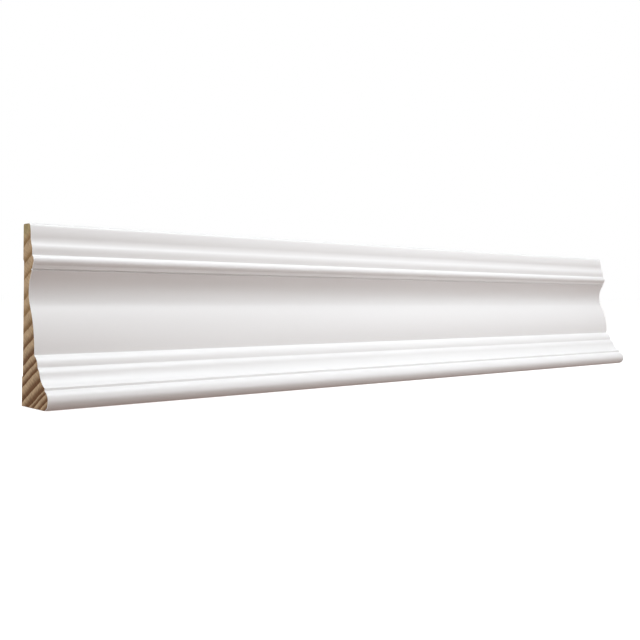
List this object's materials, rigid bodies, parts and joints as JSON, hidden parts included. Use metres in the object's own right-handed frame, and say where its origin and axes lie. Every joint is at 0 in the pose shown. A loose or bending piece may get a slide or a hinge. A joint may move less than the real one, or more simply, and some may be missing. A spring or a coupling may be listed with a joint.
{
  "type": "door casing moulding",
  "caption": "Length of moulded softwood door casing, painted white on its face and edges, with a thick rounded outer edge, long swell, cove and bead.",
  "frame": {"origin": "bottom centre of the bounding box: on the flat underside of the thick outer edge, midway along the length and midway between the back plane and the foremost line of the face", "axes": "+X along the length, from the sawn end at the left of the picture to the far end; +Y out of the flat back, so the moulded face looks towards -Y; +Z across the width, from the thick outer edge up to the thin inner edge"},
  "size_m": [0.51, 0.0302, 0.0889],
  "materials": {
    "casing": "satin white paint on the face and both edges, bare sawn pine on the back and the two ends"
  },
  "bodies": {
    "root": {"casing": "casing"}
  },
  "joints": []
}
